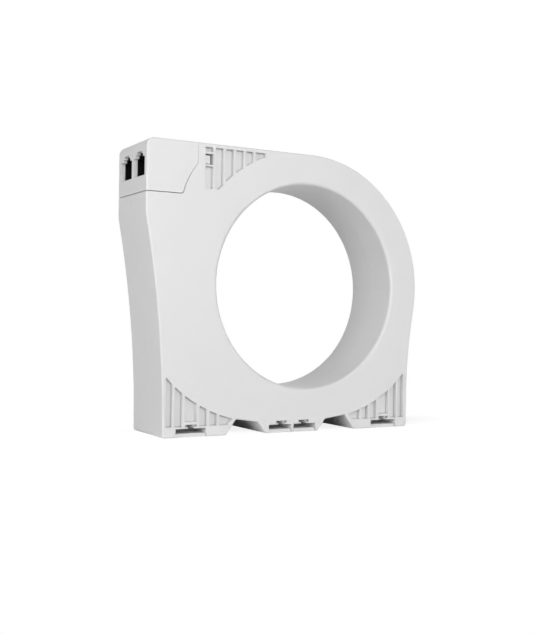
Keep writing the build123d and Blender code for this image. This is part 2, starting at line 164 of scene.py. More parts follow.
def tube(centres, outward, around, radius, sides):
    """Points and faces of a round wire along a line, closed at both ends."""
    points, faces = [], []
    for place, out, side in zip(centres, outward, around):
        for i in range(sides):
            turn = 2 * math.pi * i / sides
            points.append(place + radius * (math.cos(turn) * out + math.sin(turn) * side))
    for k in range(len(centres) - 1):
        for i in range(sides):
            a, b = k * sides + i, k * sides + (i + 1) % sides
            faces.append((a, b, b + sides, a + sides))
    last = (len(centres) - 1) * sides
    faces += [tuple(range(sides))[::-1], tuple(range(last, last + sides))]
    return points, faces


def lathe(profile, axis_point, along, across, steps):
    """Points and faces of a turned shape. The profile is pairs of distance along the axis and radius,
    where the radius may depend on the turn."""
    side = along.cross(across)
    points, faces = [], []
    for distance, radius in profile:
        for i in range(steps):
            turn = 2 * math.pi * i / steps
            r = radius(turn) if callable(radius) else radius
            points.append(axis_point + along * distance
                          + r * (math.cos(turn) * across + math.sin(turn) * side))
    for k in range(len(profile) - 1):
        for i in range(steps):
            a, b = k * steps + i, k * steps + (i + 1) % steps
            faces.append((a, a + steps, b + steps, b))
    last = (len(profile) - 1) * steps
    faces += [tuple(range(steps)), tuple(range(last, last + steps))[::-1]]
    return points, faces


def add(tree, kind, inputs=(), **settings):
    """Adds a node with its settings, and values or links for its inputs. A node as a value stands for
    its first output."""
    made = tree.nodes.new(kind)
    for key, value in settings.items():
        setattr(made, key, value)
    for key, value in dict(inputs).items():
        socket = made.inputs[key]
        if isinstance(key, str):
            socket = next(s for s in made.inputs if s.name == key and s.enabled)
        if isinstance(value, bpy.types.Node):
            value = next(s for s in value.outputs if s.enabled)
        if isinstance(value, bpy.types.NodeSocket):
            tree.links.new(value, socket)
        else:
            socket.default_value = value
    return made


def new_material(name):
    """An empty material, its node tree and the place on the object in metres."""
    made = bpy.data.materials.new(name)
    made.use_nodes = True
    made.node_tree.nodes.clear()
    place = add(made.node_tree, "ShaderNodeTexCoord").outputs["Object"]
    return made, made.node_tree, place


def rgba(colour, share=1.0):
    """A shader colour, made a little darker or lighter by a share."""
    return tuple(channel * share for channel in colour) + (1.0,)


# Finishes


def moulded_abs(look):
    """Light grey ABS from a spark-eroded mould. It looks matt and even, its fine grain breaks up the
    sheen, its small edge radii catch a thin line of light, and painted shade darkens its colour in nooks."""
    made, tree, place = new_material("abs_light_grey_spark_eroded")
    grain = add(tree, "ShaderNodeTexNoise", {
        "Vector": place, "Scale": 1 / look.grain, "Detail": 3.0, "Roughness": 0.6})
    flow = add(tree, "ShaderNodeTexNoise", {"Vector": place, "Scale": 1 / look.flow, "Detail": 2.0})
    clean = add(tree, "ShaderNodeMix", {
        "Factor": flow, "A": rgba(look.colour, 0.975), "B": rgba(look.colour)}, data_type="RGBA")
    # Painted shade: where a wall stands within the nook distance, the colour keeps only the nook tone's
    # share of its brightness.
    painted_shade_occlusion = add(tree, "ShaderNodeAmbientOcclusion", {
        "Distance": look.painted_nook_shade}, samples=EDGE_SAMPLES, only_local=True)
    painted_nook_shade = add(tree, "ShaderNodeMapRange", {
        "Value": painted_shade_occlusion.outputs["AO"], "From Min": 0.35, "From Max": 1.0, "To Min": look.painted_shade_tone,
        "To Max": 1.0})
    colour = add(tree, "ShaderNodeVectorMath", {
        0: clean.outputs["Result"], "Scale": painted_nook_shade}, operation="SCALE")
    sheen = add(tree, "ShaderNodeMapRange", {
        "Value": grain, **NOISE_SPAN, "To Min": 0.46, "To Max": 0.58})
    edge = add(tree, "ShaderNodeBevel", {"Radius": look.edge_radius}, samples=EDGE_SAMPLES)
    relief = add(tree, "ShaderNodeBump", {
        "Height": grain, "Distance": look.grain_depth, "Strength": 0.5, "Normal": edge})
    shader = add(tree, "ShaderNodeBsdfPrincipled", {
        "Base Color": colour, "Roughness": sheen, "IOR": 1.53, "Normal": relief})
    add(tree, "ShaderNodeOutputMaterial", {"Surface": shader})
    return made


def moulded_nylon(look):
    """Black glass-filled nylon, moulded. Its skin is dull, with a short cloudy sheen."""
    cloud_width, cloud_depth = 0.4 * MM, 0.006 * MM
    made, tree, place = new_material("nylon_black_moulded")
    cloud = add(tree, "ShaderNodeTexNoise", {"Vector": place, "Scale": 1 / cloud_width, "Detail": 3.0})
    sheen = add(tree, "ShaderNodeMapRange", {
        "Value": cloud, **NOISE_SPAN, "To Min": 0.38, "To Max": 0.55})
    relief = add(tree, "ShaderNodeBump", {"Height": cloud, "Distance": cloud_depth, "Strength": 0.6})
    shader = add(tree, "ShaderNodeBsdfPrincipled", {
        "Base Color": rgba(look.socket_colour), "Roughness": sheen, "IOR": 1.53,
        "Specular IOR Level": 0.2, "Normal": relief})
    add(tree, "ShaderNodeOutputMaterial", {"Surface": shader})
    return made


def gold_plate(look):
    """Gold flash on phosphor bronze spring wire: a warm, clear shine with drawn lines along it."""
    line_width, line_depth, stretch = 0.06 * MM, 0.002 * MM, (0.08, 1.0, 0.08)
    made, tree, place = new_material("phosphor_bronze_gold_plated")
    along = add(tree, "ShaderNodeMapping", {"Vector": place, "Scale": stretch})
    drawn = add(tree, "ShaderNodeTexNoise", {"Vector": along, "Scale": 1 / line_width})
    sheen = add(tree, "ShaderNodeMapRange", {
        "Value": drawn, **NOISE_SPAN, "To Min": 0.2, "To Max": 0.34})
    relief = add(tree, "ShaderNodeBump", {"Height": drawn, "Distance": line_depth, "Strength": 0.5})
    shader = add(tree, "ShaderNodeBsdfPrincipled", {
        "Base Color": rgba(look.contact_colour), "Metallic": 1.0, "Roughness": sheen, "Normal": relief})
    add(tree, "ShaderNodeOutputMaterial", {"Surface": shader})
    return made


def solder_mask(look):
    """Green solder mask on glass-epoxy board: a wet-looking film that shows the weave's faint squares
    under it. The weave is drawn at its real pitch."""
    weave_pitch, weave_depth, cloud_width = 0.45 * MM, 0.004 * MM, 3 * MM
    made, tree, place = new_material("glass_epoxy_green_solder_mask")
    weave = add(tree, "ShaderNodeTexChecker", {"Vector": place, "Scale": 1 / weave_pitch})
    cloud = add(tree, "ShaderNodeTexNoise", {"Vector": place, "Scale": 1 / cloud_width})
    colour = add(tree, "ShaderNodeMix", {
        "Factor": cloud, "A": rgba(look.mask_colour, 0.85), "B": rgba(look.mask_colour, 1.1)},
        data_type="RGBA")
    relief = add(tree, "ShaderNodeBump", {
        "Height": weave.outputs["Fac"], "Distance": weave_depth, "Strength": 0.3})
    shader = add(tree, "ShaderNodeBsdfPrincipled", {
        "Base Color": colour, "Roughness": 0.28, "IOR": 1.55, "Normal": relief})
    add(tree, "ShaderNodeOutputMaterial", {"Surface": shader})
    return made


def tin_solder(look):
    """Tin solder that has set shiny, with a slight frost where it cooled last."""
    frost_width, frost_depth = 0.15 * MM, 0.004 * MM
    made, tree, place = new_material("solder_tin_reflowed")
    frost = add(tree, "ShaderNodeTexNoise", {"Vector": place, "Scale": 1 / frost_width, "Detail": 3.0})
    sheen = add(tree, "ShaderNodeMapRange", {
        "Value": frost, **NOISE_SPAN, "To Min": 0.18, "To Max": 0.38})
    relief = add(tree, "ShaderNodeBump", {"Height": frost, "Distance": frost_depth, "Strength": 0.5})
    shader = add(tree, "ShaderNodeBsdfPrincipled", {
        "Base Color": rgba(look.solder_colour), "Metallic": 1.0, "Roughness": sheen, "Normal": relief})
    add(tree, "ShaderNodeOutputMaterial", {"Surface": shader})
    return made


def moulded_epoxy(look):
    """Black epoxy moulding compound of the diodes: flat and chalky, with a fine grain."""
    grain_width, grain_depth = 0.12 * MM, 0.004 * MM
    made, tree, place = new_material("epoxy_black_moulded")
    grain = add(tree, "ShaderNodeTexNoise", {"Vector": place, "Scale": 1 / grain_width, "Detail": 3.0})
    colour = add(tree, "ShaderNodeMix", {
        "Factor": grain, "A": rgba(look.diode_colour, 0.8), "B": rgba(look.diode_colour, 1.2)},
        data_type="RGBA")
    relief = add(tree, "ShaderNodeBump", {"Height": grain, "Distance": grain_depth, "Strength": 0.6})
    shader = add(tree, "ShaderNodeBsdfPrincipled", {
        "Base Color": colour, "Roughness": 0.62, "IOR": 1.55, "Normal": relief})
    add(tree, "ShaderNodeOutputMaterial", {"Surface": shader})
    return made


def glazed_ceramic(look):
    """Black glaze over a white ceramic chip: smooth, with a hard small shine."""
    ripple_width, ripple_depth = 0.8 * MM, 0.01 * MM
    made, tree, place = new_material("ceramic_chip_black_glaze")
    ripple = add(tree, "ShaderNodeTexNoise", {"Vector": place, "Scale": 1 / ripple_width})
    relief = add(tree, "ShaderNodeBump", {"Height": ripple, "Distance": ripple_depth, "Strength": 0.4})
    shader = add(tree, "ShaderNodeBsdfPrincipled", {
        "Base Color": rgba(look.diode_colour), "Roughness": 0.22, "IOR": 1.5, "Coat Weight": 0.5,
        "Normal": relief})
    add(tree, "ShaderNodeOutputMaterial", {"Surface": shader})
    return made


def zinc_plate(look):
    """Bright zinc on steel: silver, with a cold cloudiness in its tone and its sheen."""
    cloud_width, cloud_depth = 0.7 * MM, 0.003 * MM
    made, tree, place = new_material("steel_zinc_plated")
    cloud = add(tree, "ShaderNodeTexNoise", {
        "Vector": place, "Scale": 1 / cloud_width, "Detail": 4.0, "Roughness": 0.6})
    colour = add(tree, "ShaderNodeMix", {
        "Factor": cloud, "A": rgba(look.colour, 0.85), "B": rgba(look.colour)}, data_type="RGBA")
    sheen = add(tree, "ShaderNodeMapRange", {
        "Value": cloud, **NOISE_SPAN, "To Min": 0.26, "To Max": 0.42})
    relief = add(tree, "ShaderNodeBump", {"Height": cloud, "Distance": cloud_depth, "Strength": 0.5})
    shader = add(tree, "ShaderNodeBsdfPrincipled", {
        "Base Color": colour, "Metallic": 1.0, "Roughness": sheen, "Normal": relief})
    add(tree, "ShaderNodeOutputMaterial", {"Surface": shader})
    return made


def wound_strip(look):
    """Nickel-iron strip wound on edge: its ends show as fine rings, each with its own tone. The strip
    is thinner than the render can show, so the rings are drawn at the coil look's strip size."""
    step_depth = 0.05 * MM
    made, tree, place = new_material("nickel_iron_strip_wound")
    split = add(tree, "ShaderNodeSeparateXYZ", {"Vector": place})
    flat = add(tree, "ShaderNodeCombineXYZ", {"X": split.outputs["X"], "Y": split.outputs["Z"]})
    distance = add(tree, "ShaderNodeVectorMath", {0: flat}, operation="LENGTH")
    layer = add(tree, "ShaderNodeMath", {0: distance, 1: look.strip}, operation="DIVIDE")
    tone = add(tree, "ShaderNodeTexNoise", {
        "W": layer, "Scale": 1.0, "Detail": 1.0}, noise_dimensions="1D")
    colour = add(tree, "ShaderNodeMix", {
        "Factor": tone, "A": rgba(look.core_colour, 0.75), "B": rgba(look.core_colour)},
        data_type="RGBA")
    sheen = add(tree, "ShaderNodeMapRange", {"Value": tone, **NOISE_SPAN, "To Min": 0.3, "To Max": 0.5})
    relief = add(tree, "ShaderNodeBump", {"Height": tone, "Distance": step_depth, "Strength": 0.7})
    shader = add(tree, "ShaderNodeBsdfPrincipled", {
        "Base Color": colour, "Metallic": 1.0, "Roughness": sheen, "Normal": relief})
    add(tree, "ShaderNodeOutputMaterial", {"Surface": shader})
    return made


def natural_polyester(look):
    """Unpainted moulded polyester of the core's case: creamy, smooth and a little waxy."""
    flow_width, skin_width, skin_depth, glow_reach = 9 * MM, 0.5 * MM, 0.004 * MM, 1.5 * MM
    made, tree, place = new_material("polyester_natural_moulded")
    flow = add(tree, "ShaderNodeTexNoise", {"Vector": place, "Scale": 1 / flow_width})
    skin = add(tree, "ShaderNodeTexNoise", {"Vector": place, "Scale": 1 / skin_width})
    colour = add(tree, "ShaderNodeMix", {
        "Factor": flow, "A": rgba(look.case_colour, 0.94), "B": rgba(look.case_colour)},
        data_type="RGBA")
    relief = add(tree, "ShaderNodeBump", {"Height": skin, "Distance": skin_depth, "Strength": 0.4})
    shader = add(tree, "ShaderNodeBsdfPrincipled", {
        "Base Color": colour, "Roughness": 0.41, "IOR": 1.57, "Subsurface Weight": 0.08,
        "Subsurface Scale": glow_reach, "Normal": relief})
    add(tree, "ShaderNodeOutputMaterial", {"Surface": shader})
    return made


def enamelled_copper(name, colour):
    """Copper wire under clear enamel: the metal's warm shine with a lacquer's sharper one over it."""
    pull_width = 1.2 * MM
    made, tree, place = new_material(name)
    pull = add(tree, "ShaderNodeTexNoise", {"Vector": place, "Scale": 1 / pull_width, "Detail": 3.0})
    tone = add(tree, "ShaderNodeMix", {
        "Factor": pull, "A": rgba(colour, 0.8), "B": rgba(colour)}, data_type="RGBA")
    sheen = add(tree, "ShaderNodeMapRange", {
        "Value": pull, **NOISE_SPAN, "To Min": 0.24, "To Max": 0.36})
    shader = add(tree, "ShaderNodeBsdfPrincipled", {
        "Base Color": tone, "Metallic": 1.0, "Roughness": sheen, "Coat Weight": 0.8,
        "Coat Roughness": 0.12})
    add(tree, "ShaderNodeOutputMaterial", {"Surface": shader})
    return made


def polyester_tape(look):
    """Yellow polyester tape, lapped round the coil: a glossy film whose edges step at each turn."""
    crease_width, lap_depth = 2.5 * MM, 0.06 * MM
    made, tree, place = new_material("polyester_tape_yellow_lapped")
    split = add(tree, "ShaderNodeSeparateXYZ", {"Vector": place})
    turn = add(tree, "ShaderNodeMath", {
        0: split.outputs["Z"], 1: split.outputs["X"]}, operation="ARCTAN2")
    laps = add(tree, "ShaderNodeMath", {
        0: turn, 1: look.tape_laps / (2 * math.pi)}, operation="MULTIPLY")
    step = add(tree, "ShaderNodeMath", {0: laps}, operation="FRACT")
    crease = add(tree, "ShaderNodeTexNoise", {"Vector": place, "Scale": 1 / crease_width})
    colour = add(tree, "ShaderNodeMix", {
        "Factor": step, "A": rgba(look.tape_colour, 0.88), "B": rgba(look.tape_colour)},
        data_type="RGBA")
    sheen = add(tree, "ShaderNodeMapRange", {
        "Value": crease, **NOISE_SPAN, "To Min": 0.2, "To Max": 0.32})
    relief = add(tree, "ShaderNodeBump", {"Height": step, "Distance": lap_depth, "Strength": 0.8})
    shader = add(tree, "ShaderNodeBsdfPrincipled", {
        "Base Color": colour, "Roughness": sheen, "IOR": 1.6, "Normal": relief})
    add(tree, "ShaderNodeOutputMaterial", {"Surface": shader})
    return made


def polyurethane_foam(look):
    """Grey closed-cell foam: dull, with painted shade that darkens the middle of its cells and a lighter
    tone on their walls. The cells are drawn larger than the real 0.3 mm so that they show."""
    cell_depth = 0.15 * MM
    made, tree, place = new_material("polyurethane_foam_grey")
    cells_and_painted_shade = add(tree, "ShaderNodeTexVoronoi", {"Vector": place, "Scale": 1 / look.foam_cell})
    # Painted shade: the colour darkens towards each cell's middle, where the bump makes a hollow.
    colour = add(tree, "ShaderNodeMix", {
        "Factor": cells_and_painted_shade, "A": rgba(look.foam_colour, 0.45), "B": rgba(look.foam_colour, 1.2)},
        data_type="RGBA")
    relief = add(tree, "ShaderNodeBump", {"Height": cells_and_painted_shade, "Distance": cell_depth, "Strength": 0.8})
    shader = add(tree, "ShaderNodeBsdfPrincipled", {
        "Base Color": colour, "Roughness": 0.95, "IOR": 1.45, "Sheen Weight": 0.2, "Normal": relief})
    add(tree, "ShaderNodeOutputMaterial", {"Surface": shader})
    return made


def soft_pvc(name, colour):
    """Soft PVC insulation: a satin skin, a little uneven from the extruder."""
    skin_width, skin_depth = 0.5 * MM, 0.006 * MM
    made, tree, place = new_material(name)
    skin = add(tree, "ShaderNodeTexNoise", {"Vector": place, "Scale": 1 / skin_width, "Detail": 2.0})
    sheen = add(tree, "ShaderNodeMapRange", {
        "Value": skin, **NOISE_SPAN, "To Min": 0.34, "To Max": 0.46})
    relief = add(tree, "ShaderNodeBump", {"Height": skin, "Distance": skin_depth, "Strength": 0.4})
    shader = add(tree, "ShaderNodeBsdfPrincipled", {
        "Base Color": rgba(colour), "Roughness": sheen, "IOR": 1.54, "Normal": relief})
    add(tree, "ShaderNodeOutputMaterial", {"Surface": shader})
    return made


# What the user can change


class HousingLook(bpy.types.PropertyGroup):
    """Finish of the moulded housing and its cap."""
    colour: colour_property("Housing colour", "Light grey of the moulded ABS", "DCDCDC")
    grain: length_property("Grain", "Width of the eroded grain, drawn coarser than it is", 0.45 * MM)
    grain_depth: length_property("Grain depth", "Height of the grain from low to high", 0.012 * MM)
    flow: length_property("Flow marks", "Width of the faint cloudiness left by the melt", 14 * MM)
    edge_radius: length_property("Edge radius", "Radius of the small moulded edges", 0.15 * MM)
    # Painted shade in nooks: how close a wall stands for the colour to be darkened, and how much
    # brightness stays.
    painted_nook_shade: length_property("Nook", "How close a wall stands that keeps light off the plastic", 0.6 * MM)
    painted_shade_tone: FloatProperty(name="Nook tone",
                             description="Share of its brightness that the plastic keeps in a nook",
                             default=0.6, min=0.0, max=1.0, subtype="FACTOR")


class SocketLook(bpy.types.PropertyGroup):
    """Finish of the modular sockets and their sprung wires."""
    socket_colour: colour_property("Socket colour", "Black of the moulded nylon", "08080A")
    contact_colour: colour_property("Contact colour", "Gold flash of the sprung wires", "E0B868")


class BoardLook(bpy.types.PropertyGroup):
    """Finish of the circuit board and what is soldered to it."""
    mask_colour: colour_property("Mask colour", "Green of the solder mask", "1F5A34")
    solder_colour: colour_property("Solder colour", "Tin solder", "C9CCCE")
    diode_colour: colour_property("Diode colour", "Black of the moulded epoxy", "26262A")
    pad_radius: length_property("Pad radius", "Radius of the soldered pads", 0.46 * MM)


class CoilLook(bpy.types.PropertyGroup):
    """Windings, core, case, tape and foam of the coil."""
    wire_colour: colour_property("Wire colour", "Enamelled copper of the secondary", "C0693A")
    test_colour: colour_property("Test wire colour", "Redder enamel of the test turns", "A63A26")
    core_colour: colour_property("Core colour", "Nickel-iron strip", "C2C3C4")
    case_colour: colour_property("Case colour", "Natural polyester of the core's case", "E4DCC8")
    tape_colour: colour_property("Tape colour", "Yellow polyester tape", "E3B93C")
    foam_colour: colour_property("Foam colour", "Grey polyurethane foam", "6E6E70")
    wire_gap: length_property("Wire gap", "Space between turns at the window's side", 0.03 * MM)
    strip: length_property("Strip", "Thickness of the core's strip as drawn", 0.25 * MM)
    foam_cell: length_property("Foam cell", "Width of the foam's cells as drawn", 0.8 * MM)
    tape_laps: IntProperty(name="Tape laps", description="Laps of tape round the coil",
                           default=36, min=4, max=90)


class LeadLook(bpy.types.PropertyGroup):
    """Insulation of the leads from the coil to the board."""
    secondary_colour: colour_property("Secondary colour", "Black PVC of the secondary's leads", "232325")
    test_colour: colour_property("Test colour", "Red PVC of the test winding's leads", "B4281F")


class ScrewLook(bpy.types.PropertyGroup):
    """Screws of the board and the housing."""
    colour: colour_property("Screw colour", "Zinc-plated steel", "CDCFD1")
    pitch: FloatProperty(name="Pitch", description="Thread pitch as a share of the screw's outer radius",
                         default=0.8, min=0.3, max=2.0, subtype="FACTOR")


class StudioLook(bpy.types.PropertyGroup):
    """Camera, floor and lamps."""
    camera_place: FloatVectorProperty(name="Camera place", description="Where the camera stands",
                                      default=(-0.197, -0.33231, -0.0131), subtype="TRANSLATION",
                                      unit="LENGTH")
    camera_turn: FloatProperty(name="Camera turn",
                               description="How far the camera looks to the right of straight back",
                               default=math.radians(29.266), subtype="ANGLE", unit="ROTATION")
    camera_tilt: FloatProperty(name="Camera tilt", description="How far the camera looks up",
                               default=math.radians(0.145), subtype="ANGLE", unit="ROTATION")
    camera_lean: FloatProperty(name="Camera lean",
                               description="How far the camera leans over to the right",
                               default=math.radians(-0.858), subtype="ANGLE", unit="ROTATION")
    focal_px: FloatProperty(name="Focal length", description="Focal length in pixels of the image",
                            default=950.6, min=100.0)
    ambient: FloatProperty(name="Room light", description="Light from all round", default=0.15, min=0.0)
    front: power_property("Front softbox", "Large softbox straight in front", 1.81)
    key: power_property("Key softbox", "Softbox in front, a little to the left and up", 1.18)
    high: power_property("High softbox", "Softbox high up in front", 1.46)
    side: power_property("Side softbox", "Softbox at the left, level with the window", 2.15)
    near: power_property("Near panel", "Panel near the front's upper left", 0.65)
    corner: power_property("Corner panel", "Small panel near the capped corner", 0.1)
    low: power_property("Low panel", "Small panel close to the left side's foot", 0.11)
    floor_panel: power_property("Floor panel", "Small panel low in front at the right", 0.08)
    back: power_property("Back softbox", "Softbox behind at the right", 3.0)
    rear: power_property("Rear softbox", "Softbox far behind, for the rear face", 7.0)
    # The floor shows this share of its paper near the object, where the paper carries a painted shadow as
    # well as the real one.
    floor_shadow: FloatProperty(name="Floor shadow",
                                description="Share of the object's shadow that the floor shows",
                                default=0.14, min=0.0, max=1.0, subtype="FACTOR")
    floor_colour: colour_property("Floor colour", "White of the paper floor", "F4F4F4")


class TransformerLook(bpy.types.PropertyGroup):
    """All that can be changed on the transformer."""
    housing: PointerProperty(type=HousingLook)
    socket: PointerProperty(type=SocketLook)
    board: PointerProperty(type=BoardLook)
    coil: PointerProperty(type=CoilLook)
    lead: PointerProperty(type=LeadLook)
    screw: PointerProperty(type=ScrewLook)
    studio: PointerProperty(type=StudioLook)


# Coil


def winding_line(inner, outer, low, high, wire_r, start, end, turns, steps_per_side):
    """Centres, outward and sideways directions of a wire wound round the cased core."""
    loop = []
    corners = [Vector(c) for c in ((inner, low), (outer, low), (outer, high), (inner, high))]
    middle = Vector(((inner + outer) / 2, (low + high) / 2))
    for a, b in zip(corners, corners[1:] + corners[:1]):
        run = (b - a).normalized()
        out = Vector((run.y, -run.x))
        if out.dot(a - middle) < 0:
            out = -out
        for i in range(steps_per_side):
            loop.append((a.lerp(b, i / (steps_per_side - 1)) + out * wire_r, out))
    centres, outward, around = [], [], []
    for i in range(turns * len(loop) + 1):
        place, out = loop[i % len(loop)]
        angle = start + (end - start) * i / (turns * len(loop))
        across = Vector((math.cos(angle), 0, math.sin(angle)))
        centres.append(across * place.x + Vector((0, place.y, 0)))
        outward.append(across * out.x + Vector((0, out.y, 0)))
        around.append(Vector((-math.sin(angle), 0, math.cos(angle))))
    return centres, outward, around


def test_turns():
    """Angles of the first and the last test turn on the coil, and how many turns there are."""
    angles = []
    for turn in islands("test_winding"):
        centre = sum(turn, Vector()) / len(turn)
        angles.append(math.atan2(centre.z, centre.x) % (2 * math.pi))
    return min(angles), max(angles), len(angles)


def free_angle(first, last, step):
    """Angle that the secondary leaves free: what its CAD solid doesn't cover, and a little more."""
    middle = (first + last) / 2
    widest = min(abs((math.atan2(v.co.z, v.co.x) - middle + math.pi) % (2 * math.pi) - math.pi)
                 for v in nodes["secondary_winding"].data.vertices)
    return 2 * widest + step / 4


class WindCoil(bpy.types.Operator):
    """Winds the secondary and the test turns, and finishes the core, its case and the tape"""
    bl_idname = "transformer.wind_coil"
    bl_label = "Wind the coil"

    def execute(self, context):
        look = context.scene.transformer.coil
        inner, outer, low, high = ring_size("core_case")
        high = ring_size("core_case_lid")[3]
        wire_r = (ring_size("secondary_winding")[1] - outer) / 2
        first, last, count = test_turns()
        step = (last - first) / (count - 1)

        copper = enamelled_copper("copper_wire_clear_enamel", look.wire_colour)
        gap = free_angle(first, last, step)
        start = (first + last) / 2 + gap / 2
        end = (first + last) / 2 + 2 * math.pi - gap / 2
        arc = (2 * math.pi - gap) * (inner - wire_r)
        turns = int(arc / (2 * wire_r + look.wire_gap))
        line = winding_line(inner, outer, low, high, wire_r, start, end, turns, steps_per_side=3)
        piece("secondary_wire", *tube(*line, wire_r, sides=6), copper, slot="winding_copper",
              replaces=["secondary_winding"])

        red_copper = enamelled_copper("copper_wire_red_enamel", look.test_colour)
        start, end = first - step / 2, last + step / 2
        line = winding_line(inner, outer, low, high, wire_r, start, end, count, steps_per_side=6)
        piece("test_wire", *tube(*line, wire_r, sides=10), red_copper, slot="test_wire",
              replaces=["test_winding"])

        dress("toroid_core", wound_strip(look))
        polyester = natural_polyester(look)
        dress("core_case", polyester)
        dress("core_case_lid", polyester)
        dress("winding_tape", polyester_tape(look))
        return {"FINISHED"}


class PadCoil(bpy.types.Operator):
    """Makes the two foam rings that hold the coil"""
    bl_idname = "transformer.pad_coil"
    bl_label = "Pad the coil"

    def execute(self, context):
        foam = polyurethane_foam(context.scene.transformer.coil)
        for name in ("front_foam_ring", "rear_foam_ring"):
            inner, outer, low, high = ring_size(name)
            pad = piece(name.replace("ring", "pad"), *self.pad_mesh(inner, outer, low, high), foam,
                        slot="foam_grey", replaces=[name])
        return {"FINISHED"}

    @staticmethod
    def pad_mesh(inner, outer, low, high):
        """Ring with rounded sides that bulge between its flat faces."""
        half, middle = (high - low) / 2, (low + high) / 2
        bend_steps, steps = 8, 240
        section = []
        for centre, sign in ((inner + half, -1), (outer - half, 1)):
            for i in range(bend_steps + 1):
                turn = math.radians(180 * i / bend_steps - 90)
                section.append((centre + sign * half * math.cos(turn),
                                middle + sign * half * math.sin(turn)))
        points, faces = [], []
        for r, y in section:
            points += [(r * math.cos(2 * math.pi * i / steps), y, r * math.sin(2 * math.pi * i / steps))
                       for i in range(steps)]
        for k in range(len(section)):
            for i in range(steps):
                a, b = k * steps + i, k * steps + (i + 1) % steps
                up = (k + 1) % len(section) * steps - k * steps
                faces.append((a, a + up, b + up, b))
        return points, faces


# Leads, board and screws


class InsulateLeads(bpy.types.Operator):
    """Finishes the leads from the coil to the board"""
    bl_idname = "transformer.insulate_leads"
    bl_label = "Insulate the leads"

    def execute(self, context):
        look = context.scene.transformer.lead
        dress("secondary_leads", soft_pvc("pvc_black_extruded", look.secondary_colour))
        dress("test_leads", soft_pvc("pvc_red_extruded", look.test_colour))
        return {"FINISHED"}


class PopulateBoard(bpy.types.Operator):
    """Finishes the circuit board and its parts, and solders the sockets' wires under it"""
    bl_idname = "transformer.populate_board"
    bl_label = "Populate the board"

    def execute(self, context):
        look = context.scene.transformer.board
        dress("socket_board", solder_mask(look))
        dress("protection_diodes", moulded_epoxy(look))
        dress("burden_resistor", glazed_ceramic(look))
        under, end_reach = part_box("socket_board")[0].z, 0.1 * MM
        joints = []
        for name in ("front_socket_contacts", "rear_socket_contacts"):
            for wire in islands(name):
                tip = min(v.z for v in wire)
                foot = [v for v in wire if v.z < tip + end_reach]
                place = sum(foot, Vector()) / len(foot)
                place.z = under
                joints.append(self.joint(place, under - tip, look.pad_radius))
        piece("solder_joints", *joined(joints), tin_solder(look))
        return {"FINISHED"}

    @staticmethod
    def joint(place, reach, pad_radius):
        """Cone of solder that climbs a wire's end from its pad. Its profile is in shares of the wire's
        reach and the pad's radius."""
        shares = [(0.0, 1.0), (0.1, 0.97), (0.25, 0.78), (0.5, 0.62), (0.8, 0.55), (0.95, 0.45),
                  (1.03, 0.2)]
        profile = [(reach * along, pad_radius * out) for along, out in shares]
        return lathe(profile, place, DOWN, X_AXIS, steps=16)


# How the screws are drawn
THREAD_CORE = 0.76      # radius between the ridges, as a share of the screw's
RIDGE_SLOPE = 3.2       # steepness of a ridge, in its own heights per pitch
ROWS_PER_PITCH = 8      # rings of points along one turn of the thread
SCREW_STEPS = 32        # points round a screw
POINT = ((0.25, 0.45), (0.0, 0.1))      # way back from the tip, and radius, per radius of the screw
CROSS_ARM, CROSS_WIDTH = 0.56, 0.13     # half length and half width of the cross, per head radius
CROSS_DEPTH = 0.45      # share of the head's height
CROSS_TAPER = 0.55      # length at the bottom of the cross, as a share of that at the top
BOX_FACES = [(0, 1, 2, 3), (7, 6, 5, 4), (0, 4, 5, 1), (1, 5, 6, 2), (2, 6, 7, 3), (3, 7, 4, 0)]


